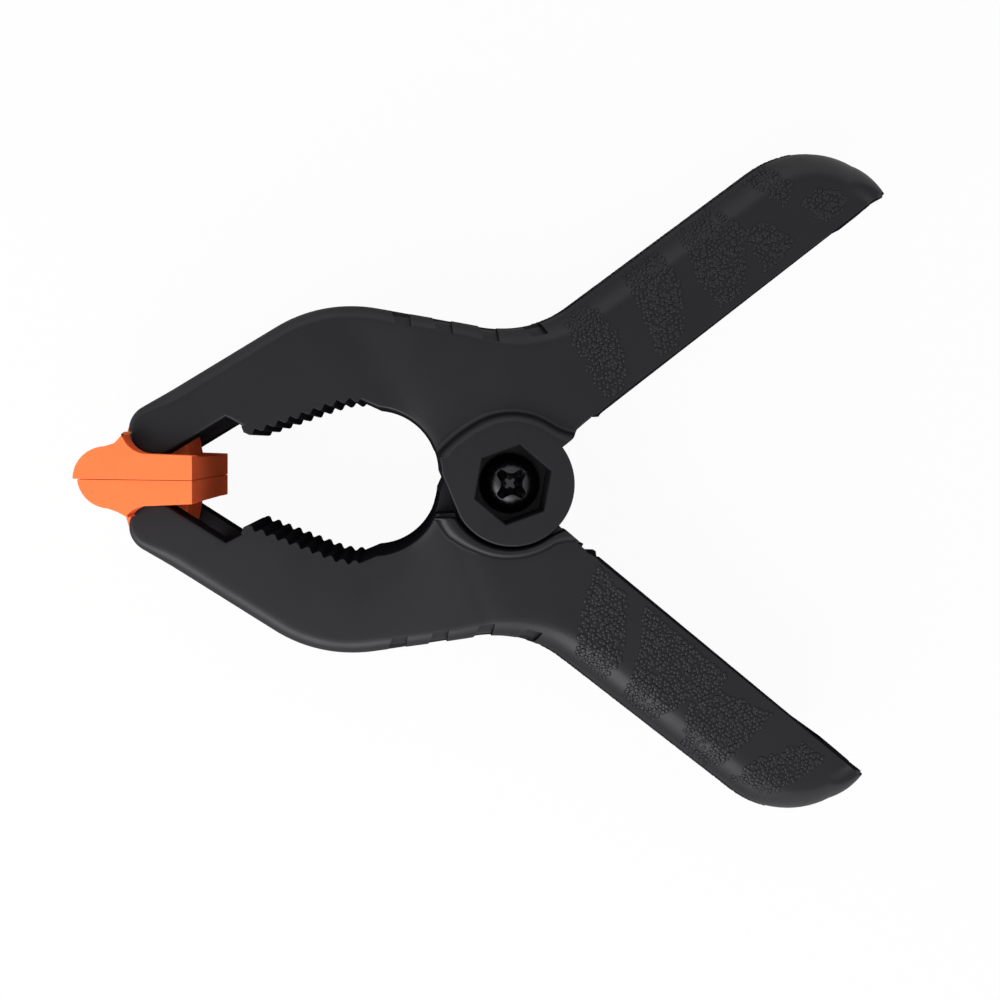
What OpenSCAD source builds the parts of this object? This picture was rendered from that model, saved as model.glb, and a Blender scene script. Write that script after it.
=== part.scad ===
// Spring clamp with two identical moulded levers, snap-on swivel pads,
// a torsion spring and a screw pivot.
// The clamp lies on its side: X runs along it from the jaws (-X) to the
// handles (+X), Y is the way the jaws open and Z is the pivot axis.
// The origin is on the pivot axis, half way through the clamp's width.

/* [Jaws] */
// From the pivot to the pad pins, along the clamp
jaw_reach = 51.4; // [49:0.1:54]
// Height of a pad pin above the clamp's centre line, closed
pin_rise = 7.15; // [6.9:0.05:7.4]
// Radius of the round cheek ends
cheek_r = 3.75; // [3.6:0.05:3.9]
// Slope of the jaw's back, degrees
jaw_angle = 32.6; // [31:0.2:34]
// Width across the jaws
jaw_w = 19; // [17:0.5:21]
// Height of the jaw's hump above the centre line
hump_h = 25.7; // [25:0.1:26.5]
// Radius of the hump
hump_r = 21; // [18:0.5:23]
// Slope of the back between hump and waist, degrees
shoulder_fall = 9; // [7:0.5:11]
// Rounding of the jaw's back edges
jaw_round = 2.6; // [1.5:0.1:3.5]
// Width of the fork that holds the pad's knuckle
fork_w = 10.4; // [9:0.2:11.5]
// Depth of the fork behind the pin, on the jaw's back
fork_back = 6.5; // [5.8:0.1:7.5]
// Depth of the fork behind the pin, on the gripping side
fork_front = 9.5; // [9:0.1:10]

/* [Teeth] */
// First tooth tip ahead of the pivot, from the pin
tooth_from_pin = 13.6; // [13.2:0.1:14.2]
// Height of the first tooth tip above the centre line
tooth_rise = 6.55; // [6.3:0.05:6.8]
// Slope of the row of teeth, degrees
tooth_angle = 20.6; // [19:0.2:22]
// Tooth pitch
tooth_pitch = 1.77; // [1.6:0.01:1.85]
// Tooth depth
tooth_depth = 0.75; // [0.5:0.05:0.9]
// Teeth on the straight part of the row
straight_teeth = 8; // [7:1:8]
// Teeth on the curved end of the row
curved_teeth = 2; // [1:1:2]

/* [Mouth] */
// Radius of the mouth's back
mouth_r = 10; // [9.6:0.1:10.2]
// Centre of that radius, ahead of the pivot
mouth_x = 20.3; // [20.1:0.1:20.6]
// Centre of that radius above the centre line
mouth_y = 0.9; // [0.7:0.1:1.1]

/* [Waist and handles] */
// Height of the waist above the centre line
waist_h = 22.9; // [22:0.1:24]
// Radius of the waist
waist_r = 17; // [15:0.5:19]
// Slope of the handle's back, degrees
handle_angle = 37.5; // [36.5:0.1:38.5]
// Distance of the handle's back from the pivot
handle_back = 16; // [15.5:0.1:16.5]
// Slope of the handle's inner edge, degrees
edge_angle = 39.7; // [39.2:0.1:40.5]
// How far the inner edge passes below the pivot
edge_drop = 0.65; // [0.4:0.05:0.8]
// Length of a handle from the pivot to its tip
handle_len = 72.8; // [68:0.2:78]
// Radius of the handle's end
end_r = 15; // [13:0.5:16]
// Width across the handles
handle_w = 23; // [21:0.5:25]
// Rounding of the handle's back edges
handle_round = 5.5; // [3:0.1:6]
// Thickness of the handle's walls
wall = 2.3; // [1.8:0.1:2.6]
// Height of the lip along the handle's inner edge
lip_h = 0.97; // [0.6:0.01:1.2]
// Step from the handle's face down to the lip
lip_step = 0.6; // [0.3:0.1:0.8]
// Where the lip starts, from the pivot
lip_from = 17.2; // [16.8:0.1:19]
// Where the handle's hollow starts, from the pivot
hollow_from = 16.5; // [16:0.1:18]
// Depth of the grip notches across the back
notch_depth = 0.35; // [0.2:0.05:0.45]
// Width of a grip notch
notch_w = 3.1; // [2.5:0.1:3.4]
// Spacing of the grip notches
notch_pitch = 6.4; // [6:0.1:6.6]
// Grip notches on a lever
notches = 4; // [2:1:4]
// First notch behind the top of the hump
notch_from = 6.2; // [5:0.2:7]

/* [Pivot] */
// Width across the pivot
hub_w = 27; // [27:0.2:28]
// Radius of the pivot lugs
lug_r = 9; // [8.6:0.1:9.2]
// Thickness of the inner lugs
inner_lug_t = 1.6; // [1.4:0.1:1.8]
// Web under the screw head and under the nut
seat_t = 1.6; // [1.4:0.1:2.2]
// Width of the raised rim round a lug's recess
rim_w = 1.4; // [1:0.1:1.8]
// How far that rim stands back from the lug's face
rim_step = 0.9; // [0.6:0.1:1.2]
// Angle at which the rim starts, on the handle's side
rim_from = 40; // [39:1:60]
// Angle at which the rim ends, on the mouth's side
rim_to = 156; // [140:1:156]
// Distance across the flats of the hexagonal pockets
hex_af = 10.2; // [10.2:0.05:10.6]
// Turn of the hexagonal pockets, degrees
hex_turn = 20.7; // [0:0.1:59]

/* [Fasteners and spring] */
// Screw thread diameter
screw_d = 6; // [5:1:6]
// Screw head diameter
head_d = 9; // [8.5:0.1:10]
// Screw head height
head_h = 3.6; // [3:0.1:3.9]
// Reach of the head's cross recess
recess_r = 2.95; // [2:0.05:3]
// Width of a wing of the cross recess
recess_w = 1.5; // [1:0.1:1.6]
// Depth of the cross recess
recess_depth = 2.4; // [1.5:0.1:2.6]
// Nut across flats
nut_af = 10; // [9.8:0.05:10]
// Nut thickness
nut_h = 5; // [4:0.1:5]
// Outer diameter of the spacer sleeve
sleeve_d = 8; // [7.6:0.1:8]
// Spring wire diameter
wire_d = 1.9; // [1.7:0.05:2]
// Mean radius of the spring coil
coil_r = 5.15; // [5.05:0.05:5.5]
// Whole turns in the coil, besides the part turn between the legs
coil_turns = 3; // [2:1:3]
// Gap between the coil's turns
turn_gap = 0.02; // [0.01:0.01:0.04]
// Length of the spring's legs from the pivot
leg_len = 29; // [27:0.5:32]

/* [Pads] */
// Width across the pads
pad_w = 27; // [24:0.5:27]
// Thickness of the pad's plate
plate_t = 3.15; // [2.8:0.05:3.25]
// Length of the plate behind the pin
plate_back = 6.2; // [5.8:0.1:6.5]
// Radius of the pad's nose
nose_r = 4.6; // [4:0.1:4.8]
// Tip of the nose ahead of the pin
nose_reach = 9.8; // [9.2:0.1:10.4]
// Radius of the pin that the pad snaps on
pin_r = 1.75; // [1.5:0.05:1.8]
// Outer radius of the pad's knuckle
knuckle_r = 3.2; // [2.9:0.1:3.4]

/* [Fits] */
// Gap between the two closed pads
pad_gap = 0.1; // [0.06:0.02:0.2]
// Side gap between faces that slide on each other
side_gap = 0.15; // [0.1:0.01:0.25]
// Radial clearance of a running fit
run_fit = 0.08; // [0.05:0.01:0.1]
// Clearance round a moving piece
clear = 0.4; // [0.3:0.05:0.5]
// Gap between the screw's head and its seat
seat_fit = 0.075; // [0.02:0.005:0.1]
// Gap between the screw and the nut
thread_fit = 0.02; // [0.01:0.01:0.05]
// Gap between the spring's leg and its rib
leg_fit = 0.05; // [0.02:0.01:0.2]

/* [Hidden] */

black = "#2f2e32";
orange = "#ff8347";
steel = "#3a3a3e";
zinc = "#b9bcc0";
corner_steps = 4;    // facets in a rounded back edge

// Stack of layers through the pivot, measured from the middle
coil_sweep = 180 - 2 * edge_angle + 360 * coil_turns;
coil_rise = (wire_d + turn_gap) * coil_sweep / 360;
spring_z = (coil_rise + wire_d) / 2 + side_gap / 3;  // half the room for the spring
inner_lug_z = spring_z + inner_lug_t;            // outer face of an inner lug
outer_lug_z = inner_lug_z + side_gap;            // inner face of an outer lug
seat_z = outer_lug_z + seat_t;                   // screw head and nut seats
screw_r = screw_d / 2;
screw_len = 2 * seat_z + nut_h;                  // ends flush with the nut
recess_clear = lug_r + clear;                    // radius cut for the other lugs
lug_root = 1.1;                                  // a lug's root past that radius
rim_root = 1.5;                                  // the rim's depth in the face
rim_z = hub_w / 2 - rim_step;                    // outer face of the rim
flank_room = 4.9;                                // height of the room for a flank
hex_r = hex_af / 2 / cos(30);
leg_top = coil_r + wire_d / 2;                   // far side of the spring's legs
rib_back = 4;                                    // rib's start before the leg's end
cheek_ease = 1.2;                                // easing of the cheeks' ends

pin = [-jaw_reach, pin_rise];
jaw_d = [cos(jaw_angle), sin(jaw_angle)];
jaw_n = [-sin(jaw_angle), cos(jaw_angle)];
back_d = [cos(handle_angle), sin(handle_angle)];
back_n = [-sin(handle_angle), cos(handle_angle)];
edge_d = [cos(edge_angle), sin(edge_angle)];
edge_n = [-sin(edge_angle), cos(edge_angle)];

// Circles that the jaw's back and the handle's back run into
hump_x = pin[0] + (jaw_n[1] * (hump_h - hump_r - pin_rise) + hump_r - cheek_r) / jaw_d[1];
hump_c = [hump_x, hump_h - hump_r];
hump_along = (hump_c + hump_r * jaw_n - pin) * jaw_d;
waist_c = [(back_n[1] * (waist_h + waist_r) - handle_back - waist_r) / back_d[1],
           waist_h + waist_r];
waist_along = (waist_c - waist_r * back_n) * back_d;
end_back = 16;                                   // end arc's start before the tip
end_stop = 64;                                   // end arc's last angle
tip_back = [5.5, 0.6];                           // last two stations before the tip
tip_share = 0.08;                                // last station's share of the way to the tip
end_c = (handle_back - end_r) * back_n + (handle_len - end_back) * back_d;
tip = edge_point(handle_len, -edge_drop);

tooth0 = pin + [tooth_from_pin, tooth_rise - pin_rise];
tooth_run = (straight_teeth - 1) * tooth_pitch;
tooth_bend = 10;                                 // radius of the row's curved end
tooth_root = 0.6;                                // a tooth's depth in the jaw
tooth_foot = 0.48 * tooth_pitch * (1 + tooth_root / tooth_depth);
tooth_inset = 0.5;                               // a tooth's end from the jaw's face
row_past = 0.4;                                  // the row's end past its last tooth, in pitches
edge_hollow = 0.3;                               // hollow between the fork and the teeth
fork_stop = pin + fork_front * jaw_d - cheek_r * jaw_n;
mouth_c = [-mouth_x, mouth_y];
mouth_arc = [86, 18, 4];                         // start, knee and end of its arc, degrees
lug_on_mouth = [22, 12];                         // where a lug runs out on that arc
flank_end = 206;                                 // where a lug's flank meets its disc
room_end = 150;                                  // where the room for a flank meets the disc
root_ease = [4, 8];                              // a lug's root inside the rim's ends, degrees

// Points along arcs and lines
function on_arc(c, r, a) = c + r * [cos(a), sin(a)];
function arc(c, r, a0, a1, n) = [for (i = [0:n]) on_arc(c, r, a0 + (a1 - a0) * i / n)];
function line(p, q, n) = [for (i = [0:n]) p + (q - p) * i / n];
function open_end(path) = [for (i = [0:len(path) - 2]) path[i]];
function edge_point(u, v) = u * edge_d + v * edge_n;
function ramp(x, x0, x1, a, b) =
    let (t = min(1, max(0, (x - x0) / (x1 - x0)))) a + (b - a) * t * t * (3 - 2 * t);

// A point s along the row of teeth, d deep from the tips into the jaw
function tooth_row(s, d) =
    let (bend = max(0, s - tooth_run) / tooth_bend * 180 / PI,
         turn = min(bend, tooth_angle),
         a = tooth_angle - turn,
         straight = tooth0 + min(s, tooth_run) * [cos(tooth_angle), sin(tooth_angle)],
         centre = straight + tooth_bend * [sin(tooth_angle), -cos(tooth_angle)],
         past = max(0, bend - turn) * PI / 180 * tooth_bend)
    s <= tooth_run ? straight + d * [-sin(tooth_angle), cos(tooth_angle)]
                   : centre + (tooth_bend + d) * [-sin(a), cos(a)] + [past, 0];

function jaw_back(u) = pin + u * jaw_d + cheek_r * jaw_n;
function jaw_front(u) = pin + u * jaw_d - cheek_r * jaw_n;
function handle_back_at(u) = handle_back * back_n + u * back_d;

// The lever's two edges, in matching stretches from the jaw to the tip
band_from = 1.5;                                 // start of the swept band, from the pin
fork_at = 8.5;                                   // stations on the jaw's back, beside the
row_at = 13;                                     // fork and beside the first tooth
hump_knee = 98;                                  // where the hump's stations change pace
waist_past = 10;                                 // handle's first stretch past the waist
row_end = tooth_run + (curved_teeth + row_past) * tooth_pitch;
hub_path_r = lug_r - 0.5;
hub_path = [170, 40];                            // its start and end, degrees
crotch = edge_point(14, lip_h - edge_drop);
lip_ramp = 0.2;                                  // length of the step up to the lip
widen = [-21, -9];                               // where the jaw's width grows to the handle's
soften = [-10, 14];                              // where the back's rounding grows
most_round = 0.45;                               // its largest share of the lever's depth
back_edge = concat(
    open_end(line(jaw_back(band_from), jaw_back(fork_at), 2)),
    open_end(line(jaw_back(fork_at), jaw_back(row_at), 2)),
    open_end(line(jaw_back(row_at), jaw_back(hump_along), 4)),
    open_end(arc(hump_c, hump_r, 90 + jaw_angle, hump_knee, 4)),
    open_end(arc(hump_c, hump_r, hump_knee, 90 - shoulder_fall, 3)),
    open_end(line(on_arc(hump_c, hump_r, 90 - shoulder_fall),
                  on_arc(waist_c, waist_r, 270 - shoulder_fall), 4)),
    open_end(arc(waist_c, waist_r, 270 - shoulder_fall, 270, 2)),
    open_end(arc(waist_c, waist_r, 270, 270 + handle_angle, 6)),
    open_end(line(handle_back_at(waist_along), handle_back_at(waist_along + waist_past), 2)),
    open_end(line(handle_back_at(waist_along + waist_past),
                  handle_back_at(handle_len - end_back), 5)),
    open_end(arc(end_c, end_r, 90 + handle_angle, end_stop, 8)),
    line(on_arc(end_c, end_r, end_stop),
         tip + (on_arc(end_c, end_r, end_stop) - tip) * tip_share, 1));
front_edge = concat(
    open_end(line(jaw_front(band_from), fork_stop, 2)),
    [fork_stop, (fork_stop + tooth_row(0, 0)) / 2 + [0, edge_hollow]],
    [for (i = [0:7]) tooth_row(row_end * i / 7, tooth_depth)],
    open_end(arc(mouth_c, mouth_r, mouth_arc[0], mouth_arc[1], 7)),
    open_end(arc(mouth_c, mouth_r, mouth_arc[1], mouth_arc[2], 2)),
    open_end(line(on_arc([0, 0], hub_path_r, hub_path[0]),
                  on_arc([0, 0], hub_path_r, hub_path[1]), 6)),
    [on_arc([0, 0], hub_path_r, hub_path[1]), crotch],
    open_end(concat([edge_point(lip_from - lip_ramp, lip_h - edge_drop)],
                    line(edge_point(lip_from, -edge_drop),
                         edge_point(handle_len - end_back, -edge_drop), 4))),
    open_end(line(edge_point(handle_len - end_back, -edge_drop),
                  edge_point(handle_len - tip_back[0], -edge_drop), 8)),
    line(edge_point(handle_len - tip_back[0], -edge_drop),
         edge_point(handle_len - tip_back[1], -edge_drop), 1));

function half_width(p) = ramp(p[0], widen[0], widen[1], jaw_w, handle_w) / 2;
function back_round(p, depth) =
    min(ramp(p[0], soften[0], soften[1], jaw_round, handle_round), depth * most_round);

// Inward unit normal of a path at point i
function inward(path, i) =
    let (t = path[min(i + 1, len(path) - 1)] - path[max(i - 1, 0)]) [t[1], -t[0]] / norm(t);

function quarter(o, n, w, r, flip) =
    [for (k = [0:corner_steps])
        let (a = 90 * (flip ? corner_steps - k : k) / corner_steps,
             p = o + n * r * (1 - sin(a)), z = w - r * (1 - cos(a)))
        [p[0], p[1], flip ? z : -z]];

// One cross-section of a swept lever: o on the back, i on the inner edge
function section(o, i, n, w, r) =
    concat([[i[0], i[1], -w]], quarter(o, n, w, r, false),
           quarter(o, n, w, r, true), [[i[0], i[1], w]]);

module sweep(sections) {
    m = len(sections[0]);
    n = len(sections);
    polyhedron(
        points = [for (s = sections) each s],
        faces = concat(
            [[for (k = [0:m - 1]) k]],
            [for (j = [0:n - 2]) for (k = [0:m - 1])
                [j * m + k, (j + 1) * m + k, (j + 1) * m + (k + 1) % m, j * m + (k + 1) % m]],
            [[for (k = [m - 1:-1:0]) (n - 1) * m + k]]));
}

// The lever's solid form, from the fork to the handle's tip
module lever_form() {
    last = len(back_edge) - 1;
    sweep([for (i = [0:last])
        let (o = back_edge[i], f = front_edge[i], depth = norm(f - o))
        section(o, f, i == 0 || i == last ? (f - o) / depth : inward(back_edge, i),
                half_width(o), back_round(o, depth))]);
}

// The handle's hollow: the same sweep, one wall in from the back and sides
module handle_hollow() {
    inset = wall + 0.1;
    lean = 2;                                    // how far its front end leans back
    stop_angle = end_stop + 14;
    tip_room = wall + 6;                         // its end before the tip, along the edge
    below = -edge_drop - lip_h - 1;
    stations = 12;
    path = concat(open_end(line(handle_back_at(hollow_from + lean),
                                handle_back_at(handle_len - end_back), 5)),
                  arc(end_c, end_r, 90 + handle_angle, stop_angle, stations - 5));
    start = edge_point(hollow_from, below);
    stop = edge_point(handle_len - tip_room, below);
    sweep([for (i = [0:len(path) - 1])
        let (n = inward(path, i), o = path[i] + n * inset,
             f = start + (stop - start) * i / (len(path) - 1))
        section(o, f, n, handle_w / 2 - wall, min(handle_round - wall, norm(f - o) * 0.3))]);
}

// Round end of the two cheeks, with eased edges
module cheek_end() {
    ease = min(cheek_ease, jaw_round / 2);
    hull()
        for (u = [0, band_from + 2])
            translate([pin[0] + u * jaw_d[0], pin[1] + u * jaw_d[1], 0]) {
                cylinder(h = jaw_w - 2 * ease, r = cheek_r, center = true, $fn = 48);
                cylinder(h = jaw_w, r = cheek_r - ease, center = true, $fn = 48);
            }
}

// The opening between the cheeks, past their ends and both edges
module fork() {
    past = 3 * cheek_r;
    linear_extrude(height = fork_w, center = true)
        polygon([pin + past * (jaw_n - jaw_d), pin + fork_back * jaw_d + past * jaw_n,
                 pin + fork_back * jaw_d, pin + fork_front * jaw_d,
                 pin + fork_front * jaw_d - past * jaw_n, pin - past * (jaw_n + jaw_d)]);
}

// A row of ridges, each with its tip on the gripping line
module teeth() {
    for (i = [0:straight_teeth + curved_teeth - 1]) {
        s = i * tooth_pitch;
        linear_extrude(height = jaw_w - 2 * tooth_inset, center = true)
            polygon([tooth_row(s, 0),
                     tooth_row(s + tooth_foot, tooth_depth + tooth_root),
                     tooth_row(s - tooth_foot, tooth_depth + tooth_root)]);
    }
}

// Outline that both lugs share: the disc, the straight flank on the mouth's
// side and the root that runs into the lever
module lug_outline() {
    root_r = recess_clear + lug_root;
    circle(r = lug_r, $fn = 96);
    polygon(concat(arc([0, 0], root_r, rim_from + root_ease[0], rim_to - root_ease[1], 12),
                   [for (a = lug_on_mouth) on_arc(mouth_c, mouth_r, a)],
                   [on_arc([0, 0], hub_path_r, flank_end), [0, 0]]));
}

module layer(z0, z1) {
    translate([0, 0, z0]) linear_extrude(height = z1 - z0) children();
}

// Room for the spring and for the other lever's lugs, one of them with its flank
module lug_room() {
    past = -mouth_x + mouth_r / 2;
    layer(-hub_w, outer_lug_z) circle(r = recess_clear, $fn = 96);
    layer(-hub_w, -inner_lug_z)
        polygon([[0, 0], [past, 0], [past, flank_room], on_arc([0, 0], hub_path_r, room_end)]);
}

// Raised rim round the recess, on the face away from the outer lug
module rim() {
    rotate([0, 0, rim_from])
        translate([0, 0, -rim_z])
            rotate_extrude(angle = rim_to - rim_from, $fn = 96)
                translate([recess_clear, 0])
                    square([rim_w, rim_z - handle_w / 2 + rim_root]);
}

module grip_notches() {
    for (i = [0:notches - 1]) {
        x = hump_c[0] + notch_from + i * notch_pitch;
        j = [for (k = [0:len(back_edge) - 2])
                if (back_edge[k][0] <= x && back_edge[k + 1][0] > x) k][0];
        p = back_edge[j];
        q = back_edge[j + 1];
        o = p + (q - p) * (x - p[0]) / (q[0] - p[0]);
        translate([o[0], o[1], 0])
            rotate([0, 0, atan2(q[1] - p[1], q[0] - p[0])])
                translate([-notch_w / 2, -notch_depth, -handle_w])
                    cube([notch_w, notch_w, 2 * handle_w]);
    }
}

// The lips stand back from the handle's faces
module lip_steps() {
    for (s = [-1, 1])
        rotate([0, 0, edge_angle])
            translate([lip_from, -edge_drop - lip_h, s * (handle_w / 2 + lip_step) - 2 * lip_step])
                cube([handle_len, 2 * lip_h, 4 * lip_step]);
}

// Way for the spring's leg from the coil into the handle
module leg_way() {
    low = -edge_drop - 2 * lip_h;
    half = spring_z + side_gap / 3;
    rotate([0, 0, edge_angle])
        translate([0, low, -half])
            cube([hollow_from + wall, leg_top + clear - low, 2 * half]);
}

// The rib that the spring's leg bears on, run a little way into the walls
module leg_rib() {
    bite = wall / 5;
    half = handle_w / 2 - wall + bite;
    top = handle_back - leg_len * sin(edge_angle - handle_angle) - wall + bite;
    rotate([0, 0, edge_angle])
        translate([leg_len - rib_back, leg_top + leg_fit, -half])
            cube([wall, top - leg_top - leg_fit, 2 * half]);
}

module lever() {
    color(black)
    difference() {
        union() {
            difference() {
                union() {
                    lever_form();
                    cheek_end();
                    teeth();
                    layer(outer_lug_z, hub_w / 2) lug_outline();
                    rim();
                }
                handle_hollow();
                fork();
                grip_notches();
                lug_room();
                leg_way();
                lip_steps();
            }
            // inner lug
            intersection() {
                layer(-inner_lug_z, -spring_z) lug_outline();
                cylinder(h = hub_w, r = recess_clear + 2 * lug_root, center = true, $fn = 96);
            }
            // the pin between the cheeks
            translate([pin[0], pin[1], 0])
                cylinder(h = (fork_w + jaw_w) / 2, r = pin_r, center = true, $fn = 48);
            leg_rib();
        }
        // screw hole
        cylinder(h = 2 * hub_w, r = screw_r + run_fit, center = true, $fn = 64);
        // hexagonal pocket
        translate([0, 0, seat_z])
            rotate([0, 0, hex_turn])
                cylinder(h = hub_w, r = hex_r, $fn = 6);
    }
}

module upper_lever() {
    lever();
}

module lower_lever() {
    rotate([180, 0, 0]) lever();
}

module pad() {
    base = pad_gap / 2;
    top = base + plate_t;
    nose_c = [pin[0] - nose_reach + nose_r, base];
    cheek_room = cheek_r + clear;
    mouth_w = 1.7 * pin_r;
    color(orange)
    difference() {
        union() {
            linear_extrude(height = pad_w, center = true)
                difference() {
                    union() {
                        intersection() {
                            translate(nose_c) circle(r = nose_r, $fn = 96);
                            translate([nose_c[0] - nose_r, base]) square(nose_r);
                        }
                        translate(nose_c) square([pin[0] - nose_c[0], nose_r]);
                        translate([pin[0] - 1, base]) square([plate_back + 1, plate_t]);
                    }
                    translate(pin) circle(r = cheek_room, $fn = 96);
                    translate([pin[0], top]) square([plate_back + 1, nose_r]);
                }
            // knuckle between the cheeks
            linear_extrude(height = fork_w - 2 * side_gap, center = true) {
                translate(pin) circle(r = knuckle_r, $fn = 64);
                polygon([[nose_c[0] - nose_r / 2, base + 0.8 * nose_r],
                         pin + [-1.25 * cheek_room, 0], pin + [-0.6 * knuckle_r, 0.7 * knuckle_r],
                         pin, pin + [0.9 * knuckle_r, -0.2 * knuckle_r],
                         [pin[0] + knuckle_r, base + 0.8 * plate_t],
                         [nose_c[0], base + 0.8 * plate_t]]);
            }
        }
        translate([pin[0], pin[1], 0])
            cylinder(h = pad_w, r = pin_r + run_fit, center = true, $fn = 48);
        // mouth of the snap
        translate([pin[0], pin[1], -pad_w / 2])
            rotate([0, 0, jaw_angle + 90])
                translate([0, -mouth_w / 2, 0]) cube([2 * knuckle_r, mouth_w, pad_w]);
    }
}

module upper_pad() {
    pad();
}

module lower_pad() {
    rotate([180, 0, 0]) pad();
}

// Coil about the pivot; its legs run out along the two handles
module torsion_spring() {
    sides = 10;
    per_turn = 24;
    leg_steps = 3;
    n = round(per_turn * coil_sweep / 360);
    coil = [for (i = [0:n])
        let (a = 90 + edge_angle + coil_sweep * i / n)
        [coil_r * cos(a), coil_r * sin(a), coil_rise * (i / n - 1 / 2)]];
    leg1 = coil[0] + leg_len * [edge_d[0], edge_d[1], 0];
    leg2 = coil[n] + leg_len * [edge_d[0], -edge_d[1], 0];
    path = concat(open_end(line(leg1, coil[0], leg_steps)), open_end(coil),
                  line(coil[n], leg2, leg_steps));
    last = len(path) - 1;
    color(zinc)
    sweep([for (i = [0:last])
        let (t = path[min(i + 1, last)] - path[max(i - 1, 0)],
             u = t / norm(t),
             side = cross([0, 0, 1], u),
             v = side / norm(side),
             w = cross(u, v))
        [for (k = [0:sides - 1])
            path[i] + wire_d / 2 * (cos(360 * k / sides) * v + sin(360 * k / sides) * w)]]);
}

module pivot_screw() {
    dome = head_h / 3;
    under = seat_z + seat_fit;
    color(steel)
    difference() {
        union() {
            translate([0, 0, under - screw_len])
                cylinder(h = screw_len + dome, r = screw_r, $fn = 64);
            translate([0, 0, under]) {
                cylinder(h = head_h - dome, r = head_d / 2, $fn = 64);
                translate([0, 0, head_h - dome])
                    cylinder(h = dome, r1 = head_d / 2, r2 = head_d / 2 - dome, $fn = 64);
            }
        }
        // cross recess
        for (a = [hex_turn + 15, hex_turn + 105])
            translate([0, 0, under + head_h - recess_depth])
                rotate([0, 0, a])
                    translate([-recess_r, -recess_w / 2, 0])
                        cube([2 * recess_r, recess_w, 2 * recess_depth]);
    }
}

module pivot_nut() {
    color(zinc)
    translate([0, 0, -seat_z - nut_h])
        difference() {
            rotate([0, 0, -hex_turn])
                cylinder(h = nut_h, r = nut_af / 2 / cos(30), $fn = 6);
            translate([0, 0, -nut_h / 2])
                cylinder(h = 2 * nut_h, r = screw_r + thread_fit, $fn = 64);
        }
}

module pivot_sleeve() {
    h = 2 * spring_z - side_gap / 3;
    color(zinc)
    difference() {
        cylinder(h = h, r = sleeve_d / 2, center = true, $fn = 64);
        cylinder(h = 2 * h, r = screw_r + run_fit, center = true, $fn = 64);
    }
}

upper_lever();
lower_lever();
upper_pad();
lower_pad();
torsion_spring();
pivot_screw();
pivot_nut();
pivot_sleeve();
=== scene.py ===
import math
import random
import bpy
import bmesh
from mathutils import Matrix, Vector


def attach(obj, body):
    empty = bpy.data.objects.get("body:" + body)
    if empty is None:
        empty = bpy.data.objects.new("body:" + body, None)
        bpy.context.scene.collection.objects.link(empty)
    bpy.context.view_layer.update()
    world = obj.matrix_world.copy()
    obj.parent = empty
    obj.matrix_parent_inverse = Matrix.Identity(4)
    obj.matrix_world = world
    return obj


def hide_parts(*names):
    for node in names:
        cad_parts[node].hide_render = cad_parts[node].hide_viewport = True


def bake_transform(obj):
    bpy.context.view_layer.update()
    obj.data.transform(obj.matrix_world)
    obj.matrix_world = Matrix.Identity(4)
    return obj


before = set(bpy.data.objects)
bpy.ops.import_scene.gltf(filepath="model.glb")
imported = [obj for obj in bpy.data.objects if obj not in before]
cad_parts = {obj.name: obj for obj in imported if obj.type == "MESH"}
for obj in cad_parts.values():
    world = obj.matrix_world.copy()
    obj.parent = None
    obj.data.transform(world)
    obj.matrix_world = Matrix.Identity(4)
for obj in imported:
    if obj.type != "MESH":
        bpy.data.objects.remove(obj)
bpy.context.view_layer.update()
mm = 0.001
print("frame loaded")


def leaveEditing():
    bpy.ops.object.mode_set(mode="OBJECT")


def deselect():
    if bpy.context.object and bpy.context.object.mode != "OBJECT":
        leaveEditing()
    bpy.ops.object.select_all(action="DESELECT")


def pick(piece):
    deselect()
    piece.select_set(True)
    bpy.context.view_layer.objects.active = piece


def tidyMesh(piece, merge=0.0004):
    pick(piece)
    bpy.ops.object.mode_set(mode="EDIT")
    bpy.ops.mesh.select_all(action="SELECT")
    bpy.ops.mesh.remove_doubles(threshold=merge * mm)
    bpy.ops.mesh.fill_holes(sides=0)
    bpy.ops.mesh.select_all(action="SELECT")
    bpy.ops.mesh.normals_make_consistent(inside=False)
    leaveEditing()


def selectOnly(piece, kind, wanted):
    # opens the piece for editing with only the edges or faces that fit selected
    pick(piece)
    bpy.ops.object.mode_set(mode="EDIT")
    bpy.ops.mesh.select_mode(type=kind)
    bpy.ops.mesh.select_all(action="DESELECT")
    mesh = bmesh.from_edit_mesh(piece.data)
    for part in (mesh.edges if kind == "EDGE" else mesh.faces):
        if wanted(part):
            part.select_set(True)
    bmesh.update_edit_mesh(piece.data)


def pull(height):
    # extrudes what is selected, straight up or down
    bpy.ops.mesh.extrude_region_move(TRANSFORM_OT_translate={"value": (0, 0, height * mm)})


def ring(name, points):
    # a closed loop of edges through the points, in mm
    deselect()
    bpy.ops.mesh.primitive_circle_add(vertices=len(points), radius=mm, fill_type="NOTHING")
    piece = bpy.context.object
    piece.name = name
    for vert, point in zip(piece.data.vertices, points):
        vert.co = Vector(point) * mm
    return piece


def plate(name, outline, low, high, ease=0.0, steps=3, bothSides=False):
    # an outline drawn flat, filled, pulled up and eased round its top edge
    piece = ring(name, [(x, y, low) for x, y in outline])
    bpy.ops.object.mode_set(mode="EDIT")
    bpy.ops.mesh.select_all(action="SELECT")
    bpy.ops.mesh.edge_face_add()
    pull(high - low)
    leaveEditing()
    tidyMesh(piece)
    if ease:
        easeRims(piece, [high] + ([low] if bothSides else []), ease, steps)
    return piece


def easeRims(piece, levels, ease, steps):
    # rounds the edges that lie level at these heights
    selectOnly(piece, "EDGE", lambda edge: any(
        max(abs(v.co.z / mm - z) for v in edge.verts) < 0.001 for z in levels))
    bpy.ops.mesh.bevel(offset=ease * mm, segments=steps, affect="EDGES")
    leaveEditing()


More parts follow.
